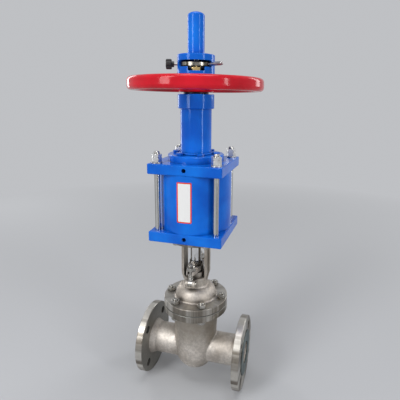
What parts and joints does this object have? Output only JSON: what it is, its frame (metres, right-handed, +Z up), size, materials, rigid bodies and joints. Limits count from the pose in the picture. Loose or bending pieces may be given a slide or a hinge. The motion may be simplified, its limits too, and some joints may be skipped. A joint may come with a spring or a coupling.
{
  "type": "pneumatic gate valve",
  "caption": "Flanged wedge gate valve opened by a square-plated air cylinder on its yoke, with a handwheel and half-nut clutch for hand operation.",
  "frame": {"origin": "centre of the inlet flange's bolt circle, on the plane of its drilled rim, 2 mm behind its raised face", "axes": "+X along the flow from the inlet flange to the outlet flange, +Z up the stem, -Y towards the side with the air ports"},
  "size_m": [0.29, 0.29, 0.8514],
  "materials": {
    "cast_stainless": "bead-blasted casting, machined rims",
    "machined_stainless": "machined",
    "bolt_steel": "zinc plated",
    "chromed_rod": "hard chrome",
    "graphite": "woven graphite",
    "rubber": "nitrile",
    "bronze": "bronze bush",
    "brass": "machined brass",
    "piston_aluminium": "machined",
    "wear_plastic": "filled PTFE",
    "blue_paint": "gloss",
    "red_paint": "gloss",
    "oiled_steel": "black oxide",
    "bearing_steel": "ground",
    "knob_plastic": "moulded"
  },
  "bodies": {
    "valve": {"valve_body": "cast_stainless", "seat_ring_inlet": "machined_stainless", "seat_ring_outlet": "machined_stainless", "bonnet_gasket": "graphite", "bonnet_yoke": "cast_stainless", "bonnet_bolts": "bolt_steel", "bonnet_nuts": "bolt_steel", "backseat_bush": "machined_stainless", "packing_rings": "graphite", "gland_follower": "machined_stainless", "gland_flange": "cast_stainless", "gland_eyebolts": "bolt_steel", "eyebolt_pins": "bolt_steel", "gland_nuts": "bolt_steel", "yoke_bolts": "bolt_steel", "lower_plate": "blue_paint", "rod_wiper": "rubber", "rod_bush": "bronze", "rod_seal": "rubber", "barrel": "blue_paint", "barrel_o_rings": "rubber", "upper_plate": "blue_paint", "upper_rod_seal": "rubber", "upper_rod_bush": "bronze", "tie_rods": "bolt_steel", "tie_rod_washers": "bolt_steel", "tie_rod_nuts": "bolt_steel", "tie_rod_locknuts": "bolt_steel", "column": "blue_paint", "column_bolts": "blue_paint", "bearing_collar": "blue_paint", "bearing_cover": "oiled_steel", "fixed_races": "bearing_steel"},
    "gate_and_piston": {"wedge_gate": "machined_stainless", "valve_stem": "machined_stainless", "stem_locknut": "machined_stainless", "piston_rod": "chromed_rod", "piston": "piston_aluminium", "piston_seals": "rubber", "piston_wear_ring": "wear_plastic", "piston_nut": "bolt_steel"},
    "handwheel_group": {"drive_sleeve": "oiled_steel", "hub_key": "bolt_steel", "hub_locknut": "oiled_steel", "handwheel": "red_paint", "nut_carrier": "oiled_steel", "carrier_screws": "bolt_steel", "clutch_housing": "blue_paint", "grub_screws": "bolt_steel", "cover_tube": "blue_paint", "turning_races": "bearing_steel"},
    "ball_sets": {"ball_cages": "brass", "bearing_balls": "bearing_steel"},
    "clutch_cam": {"clutch_ring": "bearing_steel", "clutch_lever": "chromed_rod"},
    "front_half_nut": {"half_nut_front": "brass"},
    "back_half_nut": {"half_nut_back": "brass"},
    "lock_stud": {"lock_stud": "bolt_steel"},
    "lock_knob": {"lock_knob": "knob_plastic"}
  },
  "joints": [
    {"name": "stem_lift", "type": "slide", "parent": "valve", "child": "gate_and_piston", "axis": [0, 0, 1], "range_m": [0, 0.058]},
    {"name": "handwheel_turn", "type": "hinge", "parent": "valve", "child": "handwheel_group", "pos_m": [0.123, 0, 0.622], "axis": [0, 0, 1], "continuous": true},
    {"name": "ball_sets_turn", "type": "hinge", "parent": "valve", "child": "ball_sets", "pos_m": [0.123, 0, 0.586], "axis": [0, 0, 1], "continuous": true},
    {"name": "clutch_lever_turn", "type": "hinge", "parent": "handwheel_group", "child": "clutch_cam", "pos_m": [0.123, 0, 0.663], "axis": [0, 0, 1], "range_deg": [-100, 0]},
    {"name": "front_half_nut_slide", "type": "slide", "parent": "handwheel_group", "child": "front_half_nut", "axis": [-0.319, 0.9478, 0], "range_m": [0, 0.003]},
    {"name": "back_half_nut_slide", "type": "slide", "parent": "handwheel_group", "child": "back_half_nut", "axis": [0.319, -0.9478, 0], "range_m": [0, 0.003]},
    {"name": "lock_stud_slide", "type": "slide", "parent": "handwheel_group", "child": "lock_stud", "axis": [0.9478, 0.319, 0], "range_m": [0, 0.002]},
    {"name": "lock_knob_turn", "type": "hinge", "parent": "lock_stud", "child": "lock_knob", "pos_m": [0.07561, -0.01595, 0.6634], "axis": [0.9478, 0.319, 0], "range_deg": [0, 720]}
  ],
  "couplings": [
    {"joint": "ball_sets_turn", "follows": "handwheel_turn", "ratio": 0.5},
    {"joint": "front_half_nut_slide", "follows": "clutch_lever_turn", "m_per_rad": -0.0017189},
    {"joint": "back_half_nut_slide", "follows": "clutch_lever_turn", "m_per_rad": -0.0017189},
    {"joint": "lock_knob_turn", "follows": "lock_stud_slide", "rad_per_m": 6283.2}
  ]
}
